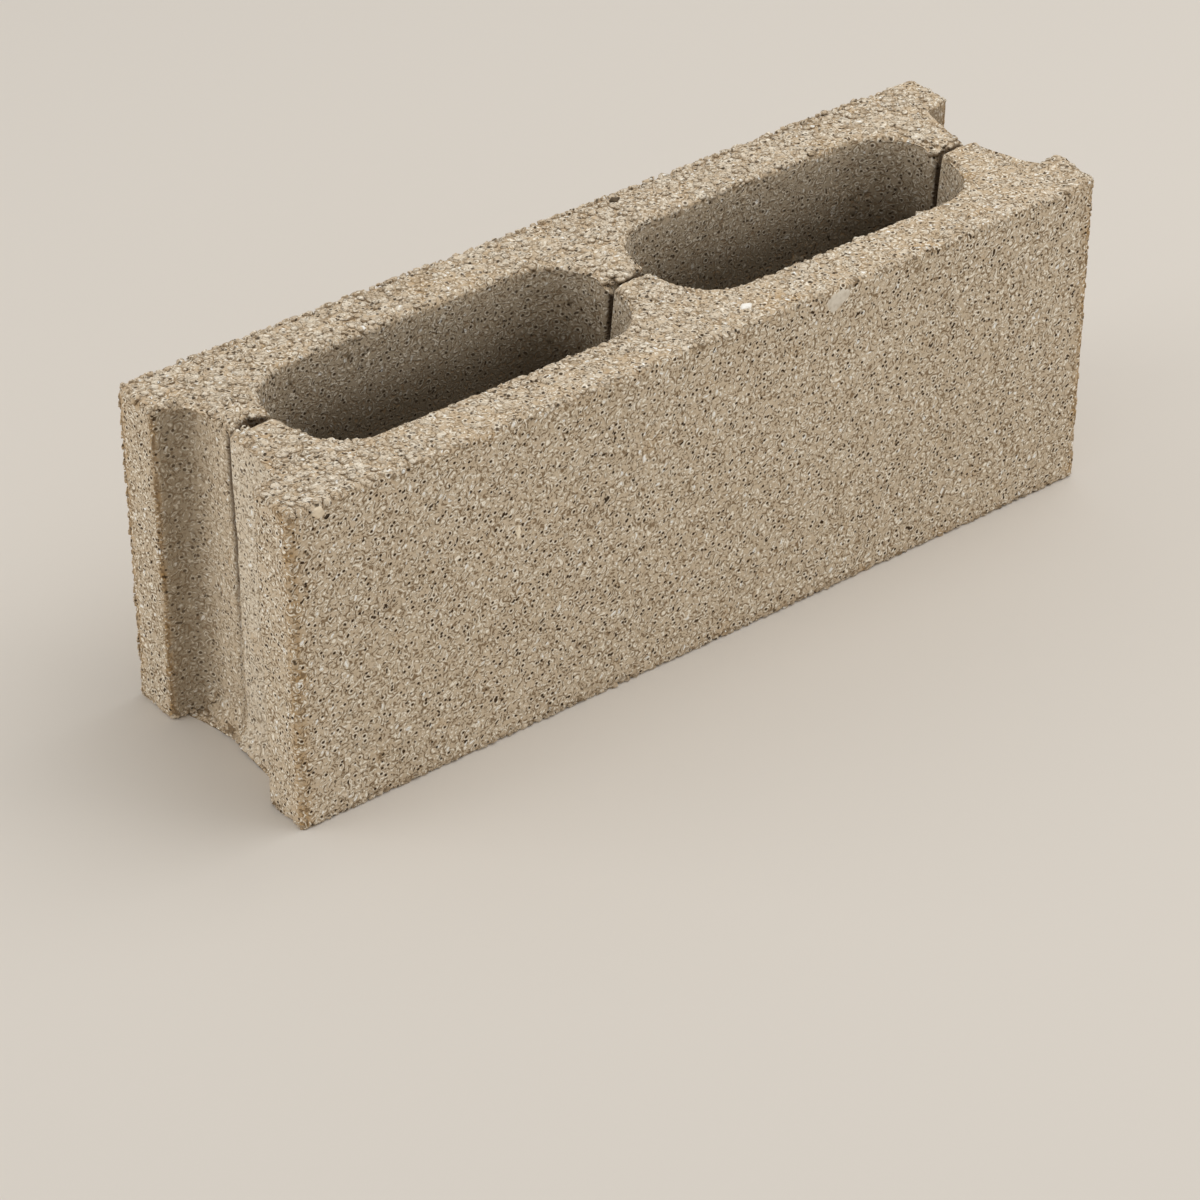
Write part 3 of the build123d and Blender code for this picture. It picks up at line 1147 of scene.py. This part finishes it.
def rimGrains(path, level, up, radius, lean, random):
    # A row of pebbles along a rim, on the round between the wall and the top or bed. Bold ones are knobs.
    form = grains["arris"]
    jitter = spacing["arrisJitter"]
    count = round(path[1][-1] / form["pitch"])
    length = (np.arange(count) + random.uniform(-jitter, jitter, count)) * path[1][-1] / count
    tangent = tangentOn(path, length)
    out = np.stack([tangent[:, 1], -tangent[:, 0]], axis=-1)
    angle = lean * math.pi / 2
    outward = np.concatenate([out * math.cos(angle), np.full((count, 1), up * math.sin(angle))], axis=1)
    edge = alongPath(path, length) - out * radius * (1 - math.cos(angle))
    height = np.full((count, 1), level - up * radius * (1 - math.sin(angle)))
    places = np.concatenate([edge, height], axis=1)
    dip, keep = topDip(places)
    keep |= up < 0
    places[:, 2] -= dip * (up > 0)
    x, y = places[:, 0], places[:, 1]
    bold = ((y > 0) & (x < spacing["knobsTo"])) | (x < spacing["knobEnd"] - halfLength)
    bold &= (up > 0) & (path is outlinePath)
    for mask, kind in ((keep & bold, grains["knob"]), (keep & ~bold, form)):
        size = grainRadius(mask.sum(), kind["pitch"], random, pebbleSizes["rimLargest"]) * kind["loose"]
        yield places[mask], outward[mask], size, kind


def uprightGrains(form, y, inward, radius, side, random):
    # A column of pebbles on an upright arris: middle of its round, at 45 degrees.
    slope = np.array([1, -inward]) / math.sqrt(2)
    middle = np.array([halfLength - radius, y + inward * radius]) + radius * slope
    jitter = spacing["arrisJitter"]
    bottom, below = spacing["uprightLevels"]
    count = round(topLevel / form["pitch"])
    level = np.linspace(bottom, topLevel - below, count)
    level = level + random.uniform(-jitter, jitter, count) * form["pitch"]
    places = np.column_stack([np.broadcast_to(middle * side, (count, 2)), level])
    outward = np.broadcast_to(np.append(side * slope, 0.0), places.shape)
    size = grainRadius(count, form["pitch"], random, pebbleSizes["rimLargest"]) * form["loose"]
    if side[1] < 0 and (side[0] < 0 or inward > 0):
        form = {**form, "lid": spacing["crispLid"], "arris": spacing["crispTint"] if inward < 0 else 0.0}
    elif side[0] < 0 and inward < 0:
        form = {**form, "lid": spacing["roughLid"]}
    return places, outward, size, form


def makeArrisGrains():
    # Two rows along every rim, and a column on each corner and each lip of the recesses.
    random = np.random.default_rng(13)
    batches = []
    for rims, level, up, radius in ((topRims, topLevel, 1.0, block["topRim"]),
                                    (bedRims, 0.0, -1.0, block["bedRim"])):
        for path in rims:
            for lean in spacing["arrisLeans"]:
                batches += rimGrains(path, level, up, radius, lean, random)
    for form, y, inward, radius in ((grains["upright"], halfWidth, -1, block["corner"]),
                                    (grains["lip"], mouthHalf, 1, block["lip"])):
        for side in ((-1, -1), (-1, 1), (1, -1), (1, 1)):
            batches.append(uprightGrains(form, y, inward, radius, np.array(side), random))
    grainPiece("arris_grains", batches, 50)


makeWallGrains()
makeFlatGrains()
makeArrisGrains()


# Single stones that show in the faces, dark slabs of painted shade for the holes that others left, and
# crumbs in the slits

front, up = (0, -1, 0), (0, 0, 1)


def stoneForm(at, faces, lid, deep, sides, colour=None):
    # Place, the way it faces, height above the face, depth, straight sides as way and distance, and colour.
    return {"at": at, "faces": faces, "lid": lid, "deep": deep, "sides": sides, "colour": colour}


stones = {
    "greyStone": stoneForm(
        (59.6, -55.0, 134.0), front, 0.35, 3.0,
        [(0, 7.2), (70, 5.6), (91, 4.8), (116, 5.5), (180, 7.2), (213, 6.3), (264, 5.5), (300, 3.6)],
        (0.74, 0.67, 0.56)),
    "creamStone": stoneForm(
        (-182.2, -55.0, 136.6), front, 1.0, 2.0,
        [(93, 2.2), (29, 2.2), (-62, 2.7), (231, 2.1), (146, 2.6)], (0.84, 0.71, 0.53)),
    "whiteStone": stoneForm(
        (21.3, -44.4, 140.0), up, 0.7, 1.5,
        [(10, 3.0), (70, 1.9), (130, 2.1), (190, 2.8), (250, 1.8), (310, 2.0)], (0.93, 0.90, 0.83)),
    "creamSliver": stoneForm(
        (-94.1, -55.0, 91.6), front, 0.7, 1.0,
        [(10, 1.0), (60, 2.9), (84, 3.4), (150, 1.1), (190, 1.1), (240, 3.0), (264, 3.4), (340, 1.0)],
        (0.97, 0.85, 0.66)),
    # Holes: dark slabs set in the face, their colour the painted shade inside each hole.
    "lensHoleShade": stoneForm(
        (-52.8, -55.0, 89.3), front, 0.2, 0.8,
        [(20, 1.0), (60, 1.5), (130, 1.0), (200, 1.0), (240, 1.6), (310, 1.0)], (0.045, 0.028, 0.015)),
    "whiteChip": stoneForm(
        (-35.7, -55.0, 99.8), front, 0.3, 0.8,
        [(10, 0.7), (70, 1.7), (150, 0.8), (190, 0.7), (250, 1.7), (330, 0.8)], (0.97, 0.95, 0.90)),
    "cornerHoleShade": stoneForm(
        (-178.2, -55.0, 132.9), front, 0.12, 0.8,
        [(0, 1.3), (60, 1.1), (130, 0.9), (190, 1.2), (250, 1.0), (310, 0.9)], (0.035, 0.022, 0.012)),
    "backHoleShade": stoneForm(
        (33.0, 50.5, 140.0), up, 0.75, 1.0,
        [(0, 3.0), (60, 1.6), (120, 1.6), (180, 2.6), (240, 1.6), (300, 1.8)], (0.06, 0.042, 0.025)),
}
crumbs = {  # in the concrete's own finish
    "leftCrumb": stoneForm(
        (-171.5, 4.0, 135.6), (0, -0.3, 1), 1.6, 3.0,
        [(0, 2.2), (55, 1.9), (120, 2.1), (185, 2.3), (245, 1.8), (300, 2.0)]),
    "leftNub": stoneForm(
        (-176.0, 2.4, 136.6), (-0.4, -0.3, 1), 1.2, 3.0,
        [(0, 1.8), (70, 1.6), (140, 1.7), (200, 1.9), (280, 1.5)]),
    "leftKnob": stoneForm(
        (-170.0, 12.5, 138.6), (0.1, -0.4, 1), 2.0, 5.0,
        [(0, 4.6), (50, 4.0), (110, 4.3), (170, 4.8), (230, 4.1), (290, 4.2)]),
}
slabs = {
    "turns": 37,
    "tilts": 15,
    "edgePower": 0.45,
    "lidPower": 0.6,
    "rough": 0.12,
    "roughSize": 1.5,
    "cloudScale": 500,
    "cloudDetail": 3,
    "roughness": 0.75,
    "bump": {"Strength": 0.4, "Distance": 0.0004},
}


def stoneFinish():
    # Each stone's own colour, clouded a little.
    material, tree, place = openFinish("stone")
    own = addNode(tree, "ShaderNodeAttribute", {"attribute_name": "stoneColour"}, {}, "Color")
    sockets = {"Vector": place, "Scale": slabs["cloudScale"], "Detail": slabs["cloudDetail"]}
    cloud = addNode(tree, "ShaderNodeTexNoise", {}, sockets)
    colour = blend(tree, (cloud - 0.45) * 1.2, own, concrete["shade"])
    closeFinish(tree, colour, slabs["roughness"], cloud, slabs["bump"])
    return material


def stoneShell(stone, seed):
    # A slab on a grid of turn and tilt. Seen from above, its edge is the nearest of its straight sides in
    # each direction; seen from the side it is a box with round ends, from powers of the tilt's sine and
    # cosine. Slow noise roughens it, and it is laid into the face that it shows in.
    turns = np.linspace(0, 2 * math.pi, slabs["turns"])
    tilts = np.linspace(-math.pi / 2, math.pi / 2, slabs["tilts"])
    turn, tilt = np.meshgrid(turns, tilts, indexing="ij")
    ways, distances = np.array(stone["sides"], float).T
    facing = np.maximum(np.cos(turn[..., None] - np.radians(ways)), 0.05)
    reach = np.min(distances / facing, axis=-1) * np.maximum(np.cos(tilt), 0) ** slabs["edgePower"]
    lift = np.sign(np.sin(tilt)) * np.abs(np.sin(tilt)) ** slabs["lidPower"]
    lift = (stone["lid"] - stone["deep"]) / 2 + (stone["lid"] + stone["deep"]) / 2 * lift
    slab = np.stack([reach * np.cos(turn), reach * np.sin(turn), lift], axis=-1)
    slab += slabs["rough"] * softNoise(slab, slabs["roughSize"], seed)[..., None] * (1, 1, 0.6)
    slab[-1] = slab[0]
    slab[:, 0], slab[:, -1] = slab[0, 0], slab[0, -1]
    outward = unit(np.array(stone["faces"], float))
    upward = np.array((0.0, 1.0, 0.0) if abs(outward[2]) > 0.5 else (0.0, 0.0, 1.0))
    along = unit(np.cross(upward, outward))
    points = np.array(stone["at"]) + slab @ np.stack([along, np.cross(outward, along), outward])
    rows = points.shape[1]
    index = np.arange(points.shape[0] - 1)[:, None] * rows + np.arange(rows - 1)[None]
    quads = np.stack([index, index + rows, index + rows + 1, index + 1], axis=-1).reshape(-1, 4)
    return weld(points.reshape(-1, 3), quads)[:3]


def makeStones(name, group, seed, material):
    # Joins a group of stones into one piece. Those with a colour carry it at their points.
    points, quads, triangles, colours, filled = [], [], [], [], 0
    for number, stone in enumerate(group.values()):
        shell = stoneShell(stone, seed + number)
        points.append(warp(shell[0]))
        quads.append(shell[1] + filled)
        triangles.append(shell[2] + filled)
        filled += len(shell[0])
        if stone["colour"]:
            colours.append(np.broadcast_to((*stone["colour"], 1.0), (len(shell[0]), 4)))
    values = {"stoneColour": np.concatenate(colours)} if colours else {}
    faceSets = [np.concatenate(quads), np.concatenate(triangles)]
    addPiece(name, np.concatenate(points), faceSets, values, material)


makeStones("stones", stones, 60, stoneFinish())
makeStones("crumbs", crumbs, 80, concreteMaterial)


# Floor, light and camera

stage = {
    "floorColour": (0.668, 0.622, 0.562),
    "floorRoughness": 0.95,
    "floorHalf": 6,
    "world": (1.0, 0.985, 0.96),
    "worldStrength": 0.62,
    "lampTarget": (0, 0, 0.07),
    "key": {"place": (0.75, -0.4, 1.75), "size": 1.6, "power": 17.5},
    "fill": {"place": (-1.4, 0.75, 0.55), "size": 1.0, "power": 6.5},
}
floorMaterial = bpy.data.materials.new("floor")
floorMaterial.use_nodes = True
floorShader = floorMaterial.node_tree.nodes["Principled BSDF"]
floorShader.inputs["Base Color"].default_value = (*stage["floorColour"], 1)
floorShader.inputs["Roughness"].default_value = stage["floorRoughness"]
floorMesh = bpy.data.meshes.new("floor")
out = stage["floorHalf"]
floorMesh.from_pydata([(-out, -out, 0), (out, -out, 0), (out, out, 0), (-out, out, 0)], [], [(0, 1, 2, 3)])
floorMesh.materials.append(floorMaterial)
floor = bpy.data.objects.new("floor", floorMesh)
bpy.context.scene.collection.objects.link(floor)

world = bpy.data.worlds.new("studio")
world.use_nodes = True
world.node_tree.nodes["Background"].inputs["Color"].default_value = (*stage["world"], 1)
world.node_tree.nodes["Background"].inputs["Strength"].default_value = stage["worldStrength"]
bpy.context.scene.world = world


def aim(thing, place, way):
    # Puts a lamp or camera at a place, looking along a way.
    thing.location = place
    thing.rotation_mode = "QUATERNION"
    thing.rotation_quaternion = way.to_track_quat("-Z", "Y")
    bpy.context.scene.collection.objects.link(thing)


def softBox(name, place, size, power):
    # A square lamp turned towards the middle of the block.
    lamp = bpy.data.lights.new(name, "AREA")
    lamp.size = size
    lamp.energy = power
    aim(bpy.data.objects.new(name, lamp), place, Vector(stage["lampTarget"]) - Vector(place))


softBox("key", **stage["key"])
softBox("fill", **stage["fill"])

view = {
    "azimuth": -38.128,
    "elevation": 34.881,
    "distance": 1.666,
    "target": (-0.01253, 0, -0.00431),
    "focalPixels": 4159.8,
    "framePixels": 1200,
    "sensor": 36,
}
azimuth, elevation = math.radians(view["azimuth"]), math.radians(view["elevation"])
flat = math.cos(elevation)
back = Vector((math.sin(azimuth) * flat, -math.cos(azimuth) * flat, math.sin(elevation)))
camera = bpy.data.cameras.new("camera")
camera.sensor_width = view["sensor"]
camera.lens = view["sensor"] * view["focalPixels"] / view["framePixels"]
eye = bpy.data.objects.new("camera", camera)
aim(eye, Vector(view["target"]) + back * view["distance"], -back)
bpy.context.scene.camera = eye
bpy.context.scene.view_settings.view_transform = "Standard"
print("stage: floor, lights and camera")
